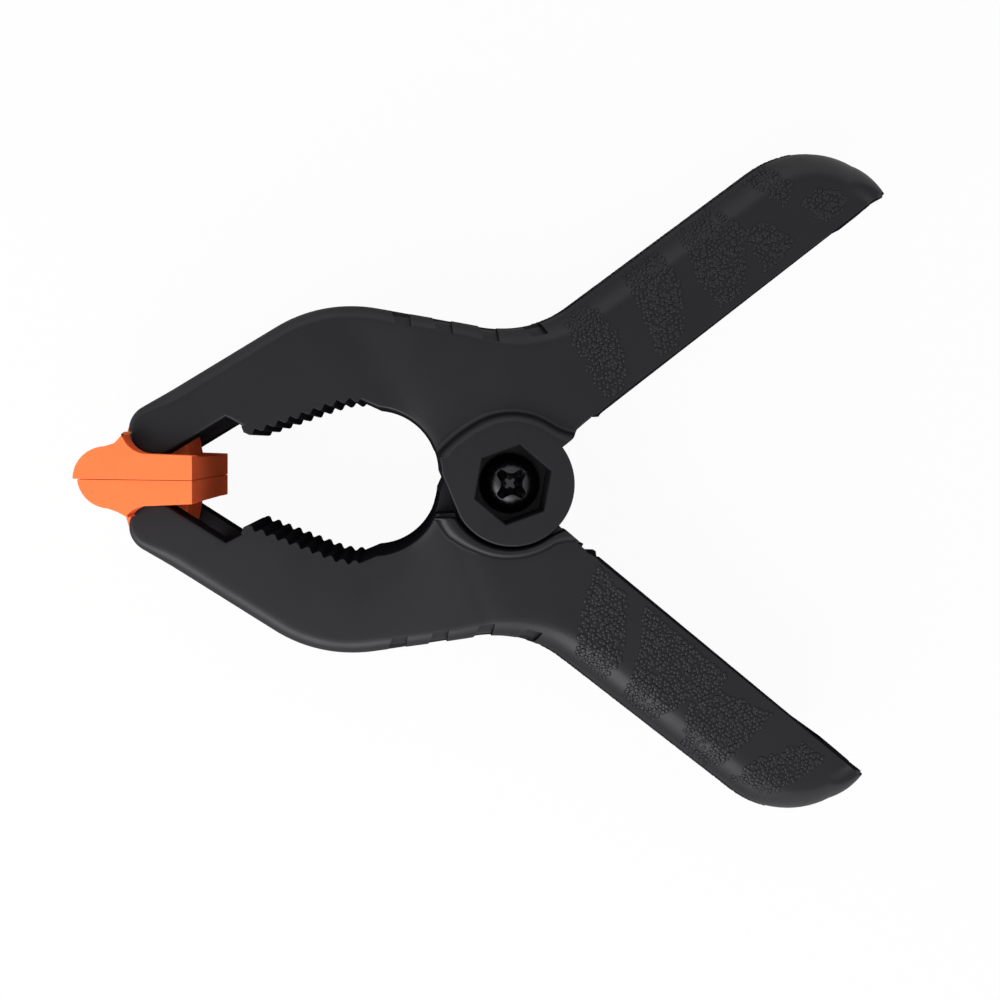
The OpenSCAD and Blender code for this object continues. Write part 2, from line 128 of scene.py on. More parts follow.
def turned(name, profile, steps=64):
    # a profile of (radius, height) points turned about the pivot's axis
    piece = ring(name, [(r, 0, z) for r, z in profile])
    selectOnly(piece, "EDGE", lambda edge: all(v.co.x < 1e-7 for v in edge.verts))
    bpy.ops.mesh.delete(type="EDGE")
    bpy.ops.mesh.select_all(action="SELECT")
    bpy.ops.mesh.spin(steps=steps, angle=2 * math.pi, center=(0, 0, 0), axis=(0, 0, 1))
    leaveEditing()
    tidyMesh(piece)
    return piece


def sweep(name, sections):
    # a grid bent so that each row of it is one closed section, with capped ends
    rows, columns = len(sections) - 1, len(sections[0])
    deselect()
    bpy.ops.mesh.primitive_grid_add(x_subdivisions=rows, y_subdivisions=columns, size=2)
    piece = bpy.context.object
    piece.name = name
    for vert in piece.data.vertices:
        row = round((vert.co.x + 1) / 2 * rows)
        column = round((vert.co.y + 1) / 2 * columns) % columns
        vert.co = Vector(sections[row][column]) * mm
    tidyMesh(piece)
    return piece


def combine(piece, tool, operation="DIFFERENCE"):
    modifier = piece.modifiers.new("fit", "BOOLEAN")
    modifier.operation = operation
    modifier.solver = "MANIFOLD"
    modifier.object = tool
    pick(piece)
    bpy.ops.object.modifier_apply(modifier=modifier.name)
    bpy.data.objects.remove(tool)


def copyOf(piece, name, turn=None):
    twin = piece.copy()
    twin.data = piece.data.copy()
    twin.name = name
    bpy.context.collection.objects.link(twin)
    if turn:
        twin.data.transform(turn)
    return twin


turnOver = Matrix.Rotation(math.pi, 4, "X")   # the lower moulding is the upper one turned over


def finishShading(piece, material, angle=32):
    piece.data.materials.clear()
    piece.data.materials.append(material)
    pick(piece)
    bpy.ops.object.shade_smooth_by_angle(angle=math.radians(angle))
    modifier = piece.modifiers.new("flats", "WEIGHTED_NORMAL")
    modifier.keep_sharp = True
    bpy.ops.object.modifier_apply(modifier=modifier.name)


def direction(degrees):
    return Vector((math.cos(math.radians(degrees)), math.sin(math.radians(degrees))))


def onArc(centre, radius, degrees):
    return Vector(centre) + radius * direction(degrees)


def arcOf(centre, radius):
    return lambda degrees: onArc(centre, radius, degrees)


def mix(a, b, t):
    return a + (b - a) * t


def eased(x, start, end, a, b):
    t = min(1, max(0, (x - start) / (end - start)))
    return a + (b - a) * t * t * (3 - 2 * t)


def alongLine(points, t):
    # the point a share t along a chain of points, each stretch counted alike
    place = t * (len(points) - 1)
    i = min(len(points) - 2, int(place))
    return mix(Vector(points[i]), Vector(points[i + 1]), place - i)


# hangs over the clamp and looks down into its mouth; mm and degrees
camera = {"place": (-14.36, 5.85, 156.0), "turn": (-3.31, -4.95, 0.96), "lens": 35.8, "sensor": 36}

deselect()
bpy.ops.object.camera_add(location=Vector(camera["place"]) * mm,
                          rotation=[math.radians(a) for a in camera["turn"]])
bpy.context.object.data.lens = camera["lens"]
bpy.context.object.data.sensor_width = camera["sensor"]
bpy.context.object.data.clip_start = 0.01
bpy.context.scene.camera = bpy.context.object
print("camera placed")


def linear(hexColour):
    parts = [int(hexColour[i:i + 2], 16) / 255 for i in (1, 3, 5)]
    return [p / 12.92 if p <= 0.04045 else ((p + 0.055) / 1.055) ** 2.4 for p in parts] + [1]


def addNode(material, kind, inputs=None, feeds=None, **settings):
    # a node with its settings, what its inputs hold and the sockets that its outputs feed
    tree = material.node_tree
    node = tree.nodes.new("ShaderNode" + kind)
    for name, value in settings.items():
        setattr(node, name, value)
    for name, value in (inputs or {}).items():
        if isinstance(value, bpy.types.NodeSocket):
            tree.links.new(value, node.inputs[name])
        else:
            node.inputs[name].default_value = value
    for name, socket in (feeds or {}).items():
        tree.links.new(node.outputs[name], socket)
    return node


def newMaterial(name, **values):
    material = bpy.data.materials.new(name)
    material.use_nodes = True
    shader = material.node_tree.nodes["Principled BSDF"]
    for key, value in values.items():
        shader.inputs[key].default_value = value
    place = addNode(material, "TexCoord").outputs["Object"]
    return material, shader, place


def perMetre(millimetres):
    return 1000 / millimetres


def facing(material):
    # how flat a face lies: 1 on the mouldings' sides, 0 on their upright walls
    normal = addNode(material, "TexCoord").outputs["Normal"]
    height = addNode(material, "SeparateXYZ", {0: normal}).outputs["Z"]
    return addNode(material, "Math", {0: height}, operation="ABSOLUTE").outputs[0]


def colourMoulding(material, shader, place, finish):
    # two tones drift over the sides, and the upright walls, found by how they face, take the finish's wall
    # colour instead: a redder painted shade on the orange pads, near the sides' own tone on the black levers
    cloud = addNode(material, "TexNoise", {
        "Vector": place, "Scale": perMetre(finish["cloud"]), "Detail": finish["detail"]}).outputs["Fac"]
    tone = addNode(material, "Mix", {
        "Factor": cloud, 6: linear(finish["tones"][0]), 7: linear(finish["tones"][1])}, data_type="RGBA")
    low, high = finish["wallBlend"]
    flat = addNode(material, "MapRange", {
        "Value": facing(material), "From Min": low, "From Max": high}).outputs[0]
    # the wall colour goes on faces that stand upright; on the pads it is painted shade
    addNode(material, "Mix", {"Factor": flat, 6: linear(finish["wall"]), 7: tone.outputs[2]},
            {2: shader.inputs["Base Color"]}, data_type="RGBA")
    return cloud, flat


def varyGloss(material, shader, pattern, finish):
    # the surface is rougher where the pattern is bright
    low, high = finish["rough"]
    addNode(material, "MapRange", {
        "Value": pattern, "From Min": 0.3, "From Max": 0.7, "To Min": low, "To Max": high},
        {0: shader.inputs["Roughness"]})


def grainMoulding(material, shader, place, finish):
    # the fine grain of the spark-eroded tool, which breaks the gloss up
    grain = addNode(material, "TexNoise", {
        "Vector": place, "Scale": perMetre(finish["grain"]), "Detail": 2})
    addNode(material, "Bump", {
        "Height": grain.outputs["Fac"], "Strength": finish["grainStrength"],
        "Distance": finish["grainDepth"] * mm}, {0: shader.inputs["Normal"]})


# glass-filled nylon, injection moulded in a spark-eroded tool: deep black with a
# satin skin, slightly cloudy where the melt flowed, polished by hands on its
# roundings and dead matt on the upright walls, where the tool was only cut
nylonFinish = {"tones": ("#141417", "#1a191d"), "wall": "#1b1a1e", "wallBlend": (0.27, 0.5), "cloud": 9,
               "detail": 4, "rough": (0.40, 0.54), "grain": 0.16, "grainStrength": 0.5, "grainDepth": 0.008,
               # gloss by how flat a face lies
               "gloss": [(0.3, 0.0), (0.62, 0.09), (0.88, 0.26), (0.95, 0.26), (0.985, 0.16)]}


def makeNylon():
    finish = nylonFinish
    material, shader, place = newMaterial("black nylon, moulded", IOR=1.53)
    cloud, flat = colourMoulding(material, shader, place, finish)
    gloss = addNode(material, "ValToRGB", {"Fac": facing(material)},
                    {"Color": shader.inputs["Specular IOR Level"]})
    stops = gloss.color_ramp.elements
    for k, (position, level) in enumerate(finish["gloss"]):
        stop = stops[k] if k < 2 else stops.new(position)
        stop.position = position
        stop.color = (level, level, level, 1)
    varyGloss(material, shader, cloud, finish)
    grainMoulding(material, shader, place, finish)
    return material


# soft nylon, moulded in orange: satin, a little light passes through its edges;
# the upright walls get a deeper, redder colour as painted shade
padFinish = {"tones": ("#f0723b", "#f67b43"), "wall": "#f2643c", "wallBlend": (0.25, 0.8), "cloud": 5,
             "detail": 3, "gloss": 0.2, "grain": 0.2, "grainStrength": 0.4, "grainDepth": 0.006}


def makeOrange():
    finish = padFinish
    material, shader, place = newMaterial("orange nylon, moulded", **{
        "IOR": 1.5, "Roughness": 0.5, "Subsurface Weight": 0.2, "Subsurface Scale": 1.2 * mm,
        "Subsurface Radius": (1.0, 0.35, 0.12)})
    cloud, flat = colourMoulding(material, shader, place, finish)
    addNode(material, "Math", {0: flat, 1: finish["gloss"]},
            {0: shader.inputs["Specular IOR Level"]}, operation="MULTIPLY")
    grainMoulding(material, shader, place, finish)
    return material


metalFinishes = {   # in the order in which they are made below
    # black oxide over a cold-headed steel screw: near black, oily sheen, fine speckle
    "screw": {"name": "black oxide steel, headed", "low": "#2c2b2d", "high": "#454447", "rough": (0.24, 0.42),
              "speckle": 0.5, "depth": 0.01},
    # bright zinc plate over a pressed nut: pale blue grey with a soft spangle
    "nut": {"name": "zinc plated steel, pressed", "low": "#a4a9af", "high": "#c3c6c9", "rough": (0.28, 0.46),
            "speckle": 0.9, "depth": 0.008},
    # drawn spring wire, oiled: grey with darker drawing streaks
    "wire": {"name": "spring steel wire, drawn", "low": "#77756f", "high": "#a09d96", "rough": (0.26, 0.42),
             "speckle": 0.35, "depth": 0.006},
}


def makeMetal(finish):
    material, shader, place = newMaterial(finish["name"], Metallic=1.0)
    speckle = addNode(material, "TexNoise", {
        "Vector": place, "Scale": perMetre(finish["speckle"]), "Detail": 5}).outputs["Fac"]
    addNode(material, "Mix", {
        "Factor": speckle, 6: linear(finish["low"]), 7: linear(finish["high"])},
        {2: shader.inputs["Base Color"]}, data_type="RGBA")
    varyGloss(material, shader, speckle, finish)
    addNode(material, "Bump", {
        "Height": speckle, "Strength": 0.3, "Distance": finish["depth"] * mm}, {0: shader.inputs["Normal"]})
    return material


nylon = makeNylon()
orange = makeOrange()
screwMetal, nutMetal, wireMetal = [makeMetal(finish) for finish in metalFinishes.values()]
print("materials made")


lever = {
    # the jaw, from its round end over the hump on its back
    "pin": (-51.4, 7.15), "cheek": 3.75, "jawAngle": 32.6, "jawWidth": 19, "jawRound": 2.4,
    "humpHeight": 25.7, "hump": 21, "shoulderFall": 9, "cheekEase": 0.35, "cheekRun": 9, "edgeEase": 0.35,
    "mouth": (-20.3, 0.9), "mouthRadius": 10,
    # the waist and the handle; the lever widens and its back grows rounder between two x
    "waistHeight": 22.9, "waist": 17, "handleAngle": 37.5, "handleBack": 16, "handleRound": 5.5,
    "handleWidth": 23, "wall": 2.3, "widens": (-22, -2), "rounds": (-10, 14), "roundShare": 0.72,
    # the handle's inner edge: the lip and, off it, the edge of the side face, which both lean
    "edgeAngle": 39.7, "edgeDrop": 1.02, "edgeLean": 0.015, "edgeFrom": 20,
    "faceEdge": 0.25, "faceLean": 0.0229, "faceFrom": 16, "lipDrop": 4.4,
    "lipCorner": [(-0.06, 0.3), (0, 0.08), (0.08, 0)],
    # the handle's end: three arcs, each smaller than the one before, down to a blunt tip
    "endAt": 57.2, "endRadius": 14.9, "endKnee": 64, "endSweep": 8.3, "blunt": 0.5, "bluntDrop": 1.47,
    "bluntTo": 65, "tipRound": 2.6,
}
pin = Vector(lever["pin"])
jawAngle, handleAngle, edgeAngle = lever["jawAngle"], lever["handleAngle"], lever["edgeAngle"]
jawAlong, jawAcross = direction(jawAngle), direction(jawAngle + 90)
handleAlong, handleAcross = direction(handleAngle), direction(handleAngle + 90)
edgeAlong, edgeAcross = direction(edgeAngle), direction(edgeAngle + 90)
# the hump's arc touches the jaw's slope and the waist's arc touches the handle's back
humpCentre = Vector((pin.x + (jawAcross.y * (lever["humpHeight"] - lever["hump"] - pin.y)
                              + lever["hump"] - lever["cheek"]) / jawAlong.y,
                     lever["humpHeight"] - lever["hump"]))
humpStart = (humpCentre + lever["hump"] * jawAcross - pin).dot(jawAlong)
waistTop = lever["waistHeight"] + lever["waist"]
waistCentre = Vector(((handleAcross.y * waistTop - lever["handleBack"] - lever["waist"]) / handleAlong.y,
                      waistTop))
waistEnd = (waistCentre - lever["waist"] * handleAcross).dot(handleAlong)
endAt = lever["endAt"]
endCentre = (lever["handleBack"] - lever["endRadius"]) * handleAcross + endAt * handleAlong
onCheek = arcOf(pin, lever["cheek"])
onHump = arcOf(humpCentre, lever["hump"])
onMouth = arcOf(lever["mouth"], lever["mouthRadius"])
onWaist = arcOf(waistCentre, lever["waist"])
onEnd = arcOf(endCentre, lever["endRadius"])


def onEdge(u, v):
    return u * edgeAlong + v * edgeAcross


def onLip(u):
    # the handle's inner edge leans out a little towards its tip
    return onEdge(u, -lever["edgeDrop"] - lever["edgeLean"] * (u - lever["edgeFrom"]))


def onHandleBack(u):
    return lever["handleBack"] * handleAcross + u * handleAlong


def onJaw(u, side):
    return pin + u * jawAlong + side * lever["cheek"] * jawAcross


fork = {"width": 10.4, "back": 6.5, "front": 9.5, "bar": 1.75, "barRoot": 3}
teeth = {"first": (13.6, -0.6), "angle": 20.6, "pitch": 1.77, "depth": 0.75, "straight": 8, "curved": 2,
         "bend": 10, "root": 0.9, "inset": 0.02, "rowEnd": 0.4, "ease": 0.12, "valley": 0.86,
         # half a ridge, as shares of the pitch along the row and of the depth into the jaw
         "flank": [(0.08, 0.03), (0.17, 0.16), (0.42, 0.78)]}
rowStraight = (teeth["straight"] - 1) * teeth["pitch"]
rowLength = rowStraight + (teeth["curved"] + teeth["rowEnd"]) * teeth["pitch"]


def onRow(s, deep):
    # s along the row of teeth, deep into the jaw from the line of the tips
    start = pin + Vector(teeth["first"])
    along = min(s, rowStraight)
    straightEnd = start + along * direction(teeth["angle"])
    if s <= rowStraight:
        return straightEnd + deep * direction(teeth["angle"] + 90)
    bend = math.degrees((s - rowStraight) / teeth["bend"])
    turn = min(bend, teeth["angle"])
    centre = straightEnd - teeth["bend"] * direction(teeth["angle"] + 90)
    past = math.radians(bend - turn) * teeth["bend"]
    return centre + (teeth["bend"] + deep) * direction(90 + teeth["angle"] - turn) + Vector((past, 0))


# where one stretch of the back or the inner edge hands over to the next: in mm along
# the jaw or the handle, in degrees round an arc
marks = {"besideFork": 8.5, "besideTeeth": 13, "nickRise": 0.3, "crest": 8, "mouth": (86, 57, 18, 4),
         "underLug": 8.5, "lugTurn": (170, 40), "plain": (14, 15.8), "lip": 17.2, "lipStep": 0.12,
         "backPlain": 9, "backLip": 1.4, "knee": 10, "tip": (1.7, 0.9)}
underLug = arcOf((0, 0), marks["underLug"])
forkStop = onJaw(fork["front"], -1)
# the small step from the fork's end up to the row of teeth
nick = [forkStop, (forkStop + onRow(0, 0)) / 2 + Vector((0, marks["nickRise"])), onRow(0, teeth["depth"])]
lugEdge = [underLug(a) for a in marks["lugTurn"]]
plainEdge = lugEdge[1:] + [onEdge(u, lever["faceEdge"]) for u in marks["plain"]]
lipStart = onEdge(marks["plain"][1], lever["faceEdge"] - marks["lipStep"])
backAtLip = waistEnd + (marks["backPlain"] + marks["backLip"])
sweepCentre = onArc(endCentre, lever["endRadius"] - lever["endSweep"], lever["endKnee"])
bluntRise = lever["blunt"] - lever["bluntDrop"] - sweepCentre.dot(edgeAcross)
bluntFrom = edgeAngle + math.degrees(math.asin(bluntRise / (lever["endSweep"] - lever["blunt"])))
bluntCentre = onArc(sweepCentre, lever["endSweep"] - lever["blunt"], bluntFrom)
handleEnd = bluntCentre.dot(edgeAlong) + lever["blunt"]
# the lever's back and inner edge, in matching stretches from the jaw's round end to
# the handle's tip: (back, inner edge, steps)
stretches = [
    (lambda t: onCheek(180 + jawAngle - 90 * t), lambda t: onCheek(180 + jawAngle + 90 * t), 12),
    (lambda t: onJaw(marks["besideFork"] * t, 1), lambda t: onJaw(fork["front"] * t, -1), 5),
    (lambda t: onJaw(mix(marks["besideFork"], marks["besideTeeth"], t), 1), lambda t: alongLine(nick, t), 6),
    (lambda t: onJaw(mix(marks["besideTeeth"], humpStart, t), 1),
     lambda t: onRow(rowLength / 2 * t, teeth["depth"]), 8),
    (lambda t: onHump(90 + jawAngle + (marks["crest"] - jawAngle) * t),
     lambda t: onRow(rowLength / 2 * (1 + t), teeth["depth"]), 10),
    (lambda t: onHump(90 + marks["crest"] - (marks["crest"] + lever["shoulderFall"]) * t),
     lambda t: onMouth(mix(*marks["mouth"][:2], t)), 8),
    (lambda t: mix(onHump(90 - lever["shoulderFall"]), onWaist(270 - lever["shoulderFall"]), t),
     lambda t: onMouth(mix(*marks["mouth"][1:3], t)), 10),
    (lambda t: onWaist(270 - lever["shoulderFall"] * (1 - t)),
     lambda t: onMouth(mix(*marks["mouth"][2:], t)), 4),
    (lambda t: onWaist(270 + handleAngle * t), lambda t: mix(*lugEdge, t), 14),
    (lambda t: onHandleBack(waistEnd + marks["backPlain"] * t), lambda t: alongLine(plainEdge, t), 6),
    # from here on the inner edge is the handle's lip
    (lambda t: onHandleBack(waistEnd + marks["backPlain"] + marks["backLip"] * t),
     lambda t: mix(lipStart, onLip(marks["lip"]), t), 2),
    (lambda t: onHandleBack(mix(backAtLip, endAt, t)), lambda t: onLip(mix(marks["lip"], endAt, t)), 12),
    (lambda t: onEnd(mix(90 + handleAngle, lever["endKnee"], t)),
     lambda t: onLip(mix(endAt, endAt + marks["knee"], t)), 14),
    (lambda t: onArc(sweepCentre, lever["endSweep"], mix(lever["endKnee"], bluntFrom, t)),
     lambda t: onLip(mix(endAt + marks["knee"], handleEnd - marks["tip"][0], t)), 10),
    (lambda t: onArc(bluntCentre, lever["blunt"], mix(bluntFrom, edgeAngle - lever["bluntTo"], t)),
     lambda t: onLip(handleEnd - mix(*marks["tip"], t)), 5),
]
waistStretches = stretches[5:10]   # from the hump's crest to the handle
lipStretch = 10


def across(path, i, left):
    # unit normal into the lever at a point of its back (left False) or inner edge
    t = (path[min(i + 1, len(path) - 1)] - path[max(i - 1, 0)]).normalized()
    return Vector((-t.y, t.x)) if left else Vector((t.y, -t.x))


def roundCorner(edge, inward, radius, half, angles):
    # a quarter round from an edge, at 90 degrees, to the side face, at 0
    turns = [math.radians(a) for a in angles]
    return [(edge + inward * radius * (1 - math.sin(a)), half - radius * (1 - math.cos(a))) for a in turns]


def closedSection(low):
    # the lower half of a section, as places and heights from middle to middle, mirrored
    return [(p.x, p.y, -z) for p, z in low] + [(p.x, p.y, z) for p, z in low[-2:0:-1]]


def leverSections(inset=0.0, rounder=0.0):
    # from the middle of the inner edge over the side to the middle of the back; inset and
    # rounder give the slimmer lever that bounds the notches
    tip = lever["tipRound"]
    back, front, lipped = [], [], []
    for k, (onBack, onFront, steps) in enumerate(stretches):
        last = k == len(stretches) - 1
        for i in range(steps + (1 if last else 0)):
            back.append(onBack(i / steps))
            front.append(onFront(i / steps))
            lipped.append(k >= lipStretch)
    sections = []
    for i, (outer, inner) in enumerate(zip(back, front)):
        depth = (inner - outer).length
        intoBack = jawAlong if i == 0 else across(back, i, False)
        intoFront = jawAlong if i == 0 else across(front, i, True)
        x = (outer.x + inner.x) / 2
        half = eased(x, *lever["widens"], lever["jawWidth"], lever["handleWidth"]) / 2 - inset
        run = min(1, max(0, ((outer + inner) / 2).dot(edgeAlong) - handleEnd + tip) / tip)
        half -= tip * (1 - math.sqrt(1 - run * run))
        fromEnd = min(1, (outer - back[0]).length / lever["cheekRun"])
        backRound = mix(lever["cheekEase"],
                        eased(outer.x, *lever["rounds"], lever["jawRound"], lever["handleRound"]), fromEnd)
        backRound = min(backRound, max(depth * lever["roundShare"], lever["cheekEase"])) + rounder
        outer = outer + intoBack * inset
        low = [(inner, 0)]
        if lipped[i]:
            u, v = inner.dot(edgeAlong), inner.dot(edgeAcross)
            rise = min(lever["faceEdge"] - lever["faceLean"] * (u - lever["faceFrom"]) - v, depth * 0.3)
            bevel = half - lever["lipDrop"]
            low += [(inner, bevel - 0.2), (inner + intoFront * 0.1, bevel)]
            low += [(inner + intoFront * (rise + deep), half - off) for deep, off in lever["lipCorner"]]
        else:
            low += roundCorner(inner, intoFront, lever["edgeEase"], half, [90 - 22.5 * k for k in range(5)])
        sideStart, sideEnd = low[-1][0], outer + intoBack * backRound
        low += [(mix(sideStart, sideEnd, t), half) for t in (0.1, 0.5, 0.9)]
        low += roundCorner(outer, intoBack, backRound, half, [11.25 * k for k in range(9)])
        low += [(outer, (half - backRound) * 0.5), (outer, 0)]
        sections.append(closedSection(low))
    return sections


hollow = {"from": 16.5, "lag": 2, "extraWall": 0.1, "below": 3, "short": 6.3, "cornerShare": 0.3}


def makeHollow():
    inset = lever["wall"] + hollow["extraWall"]
    path = [onHandleBack(mix(hollow["from"] + hollow["lag"], endAt, i / 8)) for i in range(8)]
    path += [onEnd(mix(90 + handleAngle, lever["endKnee"], i / 12)) for i in range(13)]
    start = onEdge(hollow["from"], -hollow["below"])
    stop = onEdge(handleEnd - lever["wall"] - hollow["short"], -hollow["below"])
    half = lever["handleWidth"] / 2 - lever["wall"]
    sections = []
    for i, p in enumerate(path):
        inward = across(path, i, False)
        outer, inner = p + inward * inset, mix(start, stop, i / (len(path) - 1))
        corner = min(lever["handleRound"] - lever["wall"], (inner - outer).length * hollow["cornerShare"])
        low = [(inner, 0), (inner, half)]
        low += roundCorner(outer, inward, corner, half, [15 * k for k in range(7)])
        sections.append(closedSection(low + [(outer, 0)]))
    return sweep("hollow", sections)


def makeFork():
    past = 3 * lever["cheek"]
    outline = [pin + past * (jawAcross - jawAlong), pin + fork["back"] * jawAlong + past * jawAcross,
               pin + fork["back"] * jawAlong, pin + fork["front"] * jawAlong,
               pin + fork["front"] * jawAlong - past * jawAcross, pin - past * (jawAcross + jawAlong)]
    return plate("fork", outline, -fork["width"] / 2, fork["width"] / 2)


def makeTeeth():
    # one strip of rounded ridges, let into the jaw
    outline = []
    count = teeth["straight"] + teeth["curved"]
    rising = [(-step, deep) for step, deep in teeth["flank"][::-1]]
    for i in range(count):
        for step, deep in [(-0.5, teeth["valley"])] + rising + teeth["flank"]:
            outline.append(onRow(i * teeth["pitch"] + step * teeth["pitch"], deep * teeth["depth"]))
    outline.append(onRow((count - 0.5) * teeth["pitch"], teeth["valley"] * teeth["depth"]))
    for i in range(count, -1, -1):
        outline.append(onRow((i - 0.5) * teeth["pitch"], teeth["depth"] + teeth["root"]))
    half = lever["jawWidth"] / 2 - teeth["inset"]
    return plate("teeth", outline, -half, half, teeth["ease"], 2, True)


notches = {"count": 4, "first": 6.2, "pitch": 6.4, "width": 3.0, "depth": 1.7, "inset": 0.02, "above": 1,
           "reach": 2.1, "slant": 1.6, "spread": 0.55, "from": 7.6, "to": 13}


def makeNotches():
    # slanted blocks less a slimmer lever, so that only the rounded edges are cut
    blocks = None
    path = [onBack(j / 20) for onBack, onFront, steps in waistStretches for j in range(20)]
    for i in range(notches["count"]):
        x = humpCentre.x + notches["first"] + i * notches["pitch"]
        near = min(range(1, len(path) - 1), key=lambda j: abs(path[j].x - x))
        top, along = path[near], (path[near + 1] - path[near - 1]).normalized()
        out = Vector((-along.y, along.x))
        half, slant = notches["width"] / 2, notches["slant"]
        corners = [top - along * half + out * notches["above"], top + along * half + out * notches["above"],
                   top + along * (half + slant * notches["spread"]) - out * notches["reach"],
                   top + along * (slant - half) - out * notches["reach"]]
        for low, high in ((notches["from"], notches["to"]), (-notches["to"], -notches["from"])):
            block = plate("notch", corners, low, high)
            if blocks:
                combine(blocks, block, "UNION")
            else:
                blocks = block
    combine(blocks, sweep("inside", leverSections(notches["inset"], notches["depth"])))
    return blocks


through = 20   # cutters reach this far up and down
hub = {
    # heights: the outer lug up to its face, with the screw's seat in it, and the inner lug
    "face": 13.5, "outerLow": 5.898, "seat": 7.498, "innerLow": -5.748, "innerHigh": -4.148,
    "lug": 9, "ease": 0.28, "discFrom": 212, "discTo": 399, "mouthTurns": (17, 13, 8, 3), "root": 7,
    "innerRoot": 10.5, "recess": 9.4, "flankRoom": 4.9, "bore": 3.08, "hexFlats": 10.2, "hexTurn": 20.7,
    "shoulderIn": 8.7, "shoulderOut": 10.5, "shoulderFrom": 38,
    "rimIn": 9.4, "rimOut": 11.05, "rimTop": 12.6, "rimFrom": 39.3, "rimTo": 156, "runOut": 162,
}


def lugOutline():
    # the disc with its straight flank towards the mouth
    disc = [onArc((0, 0), hub["lug"], mix(hub["discFrom"], hub["discTo"], k / 60)) for k in range(61)]
    root = [onArc((0, 0), hub["root"], a) for a in (60, 120)]
    return disc + root + [onMouth(a) for a in hub["mouthTurns"]]


def rollRound(name, start, end, profileAt):
    # a ridge round the pivot whose profile changes with the angle, trimmed at the mouth
    ridge = sweep(name, [[(*onArc((0, 0), r, turn), z) for r, z, turn in profileAt(mix(start, end, i / 48))]
                         for i in range(49)])
    mouth = cylinder("mouth", lever["mouthRadius"] + 0.01, -through, through, 180)
    mouth.data.transform(Matrix.Translation(Vector((*lever["mouth"], 0)) * mm))
    combine(ridge, mouth)
    return ridge


def shoulderProfile(a):
    # the lug's face rolls down into the lever along this soft ridge, wider at its ends
    side = lever["handleWidth"] / 2
    right, left = max(0, (58 - a) / 20) ** 2, max(0, (a - 120) / 36) ** 2
    inner = hub["shoulderIn"] + 0.35 * right + 1.1 * left
    outer = hub["shoulderOut"] + 1.5 * right + 1.15 * left
    profile = [(4, 9), (4, hub["face"]), (inner - 0.5, hub["face"])]
    for k in range(1, 8):
        turn = math.radians(90 - 11.5 * k)
        profile.append((inner + (outer - inner) * math.cos(turn) * 0.96,
                        side + (hub["face"] - side) * (math.sin(turn) * 0.94 + 0.06)))
    # a shallow run-out on the lever's side, then down into it
    profile += [(outer + 0.05, 11.72), (outer + 0.35, 11.55), (outer + 0.6, 11.45), (outer + 0.6, 9)]
    near = 1.9 * max(0, 1 - (a - hub["shoulderFrom"]) / 12)   # rounds the corner beside the crotch
    return [(r, z, a + near * max(0, r - 11)) for r, z in profile]


def rimProfile(a):
    # a rolled bead round the recess, which flares at both ends
    right, left = max(0, (56 - a) / 17) ** 2, min(1, max(0, (a - 95) / 45)) ** 2
    inner = max(hub["rimIn"] + 0.9 * right, hub["flankRoom"] / math.sin(math.radians(a)))
    crest = max(inner + 0.4, 9.95 + 0.6 * min(1, max(0, (a - 65) / 68)))
    outer = max(crest + 0.9, hub["rimOut"] + 2.1 * right + 1.15 * left)
    top = hub["rimTop"] - 0.3 * right
    profile = [(inner, 9.5)]
    for k in range(5):   # the bead's inner half, up to its crest
        turn = math.radians(22.5 * k)
        profile.append((mix(crest, inner, math.cos(turn)), mix(11.85, top, math.sin(turn))))
    for k in range(1, 5):   # its outer half, down to the lever's side
        turn = math.radians(22.5 * k)
        profile.append((mix(crest, outer, math.sin(turn)), mix(11.42, top, math.cos(turn))))
    profile += [(outer + 0.35, 11.36), (outer + 0.35, 9.5)]
    return [(r, -z, a) for r, z in profile]


def cylinder(name, radius, low, high, sides=96, turn=0.0):
    deselect()
    bpy.ops.mesh.primitive_cylinder_add(vertices=sides, radius=radius * mm, depth=(high - low) * mm,
                                        location=(0, 0, (low + high) / 2 * mm),
                                        rotation=(0, 0, math.radians(turn)))
    bpy.ops.object.transform_apply(location=True, rotation=True, scale=True)
    bpy.context.object.name = name
    return bpy.context.object


def atPin(piece):
    # moves a piece made round the pivot's axis onto the pad's pin
    piece.data.transform(Matrix.Translation(pin.to_3d() * mm))
    return piece


def makeLugRoom():
    room = cylinder("room", hub["recess"], -through, hub["outerLow"])
    corner = Vector(lever["mouth"]) + Vector((lever["mouthRadius"] / 2, 0))
    outline = [(0, 0), (corner.x, -0.9), (corner.x, hub["flankRoom"]), underLug(150)]
    combine(room, plate("flankRoom", outline, -through, hub["innerLow"]), "UNION")
    return room


# the way that the spring's leg takes into the handle and the rib that it bears on, as
# (along, off the inner edge, height)
legWay = ((0, 18.8), (-2.59, 6.5), (-4.198, 4.198))
legRib = ((25, 27.3), (6.15, 13.3), (-9.6, 9.6))


def boxOnEdge(name, u, v, z):
    corners = [onEdge(u[0], v[0]), onEdge(u[1], v[0]), onEdge(u[1], v[1]), onEdge(u[0], v[1])]
    return plate(name, corners, z[0], z[1])


def makeInnerLug():
    lug = plate("innerLug", lugOutline(), hub["innerLow"], hub["innerHigh"])
    root = [onArc((0, 0), hub["innerRoot"], mix(44, 148, k / 24)) for k in range(25)] + [(-6, 2), (6, 2)]
    combine(lug, plate("root", root, hub["innerLow"], hub["innerHigh"]), "UNION")
    return lug


def hexPocket(low, turn):
    # a hexagon with a slightly flared mouth
    radius = hub["hexFlats"] / 2 / math.cos(math.radians(30))
    pocket = cylinder("hex", radius, low, hub["face"] - 0.16, 6, turn - 30)
    selectOnly(pocket, "FACE", lambda face: face.normal.z > 0.9)
    pull(0.26)
    bpy.ops.transform.resize(value=(1.05, 1.05, 1), center_override=(0, 0, hub["face"] * mm))
    leaveEditing()
    return pocket


